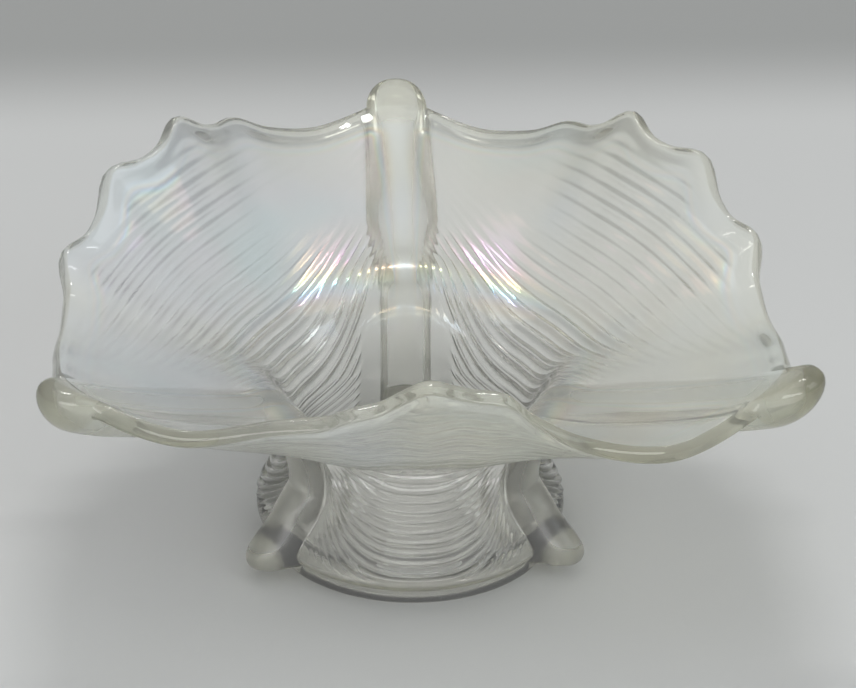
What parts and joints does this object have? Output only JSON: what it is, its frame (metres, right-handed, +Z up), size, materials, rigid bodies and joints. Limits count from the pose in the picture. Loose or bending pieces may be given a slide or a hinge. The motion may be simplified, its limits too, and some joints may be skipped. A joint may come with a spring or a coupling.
{
  "type": "candy dish",
  "caption": "Tri-cornered footed glass candy dish: waisted cup on a standing ring with curled feet, ribs rising to rim knobs, and draped scalloped panels flaring out between them.",
  "frame": {"origin": "under the middle of the dish's box, on the surface that it stands on", "axes": "+X to the dish's right, between the two front knobs, +Y to the back knob, +Z up"},
  "size_m": [0.1662, 0.1574, 0.0762],
  "materials": {
    "clear_glass": "clear pressed glass, glossy",
    "satin_glass": "satin iridised glass, pale pastel sheen",
    "rib_glass": "clear fire-polished glass, faintly smoky where thick"
  },
  "bodies": {
    "root": {"foot_ring": "clear_glass", "bowl_floor": "clear_glass", "drape_panel_front": "satin_glass", "drape_panel_back_left": "satin_glass", "drape_panel_back_right": "satin_glass", "rib_back": "rib_glass", "rib_front_left": "rib_glass", "rib_front_right": "rib_glass", "foot_back": "clear_glass", "foot_front_left": "clear_glass", "foot_front_right": "clear_glass"}
  },
  "joints": []
}
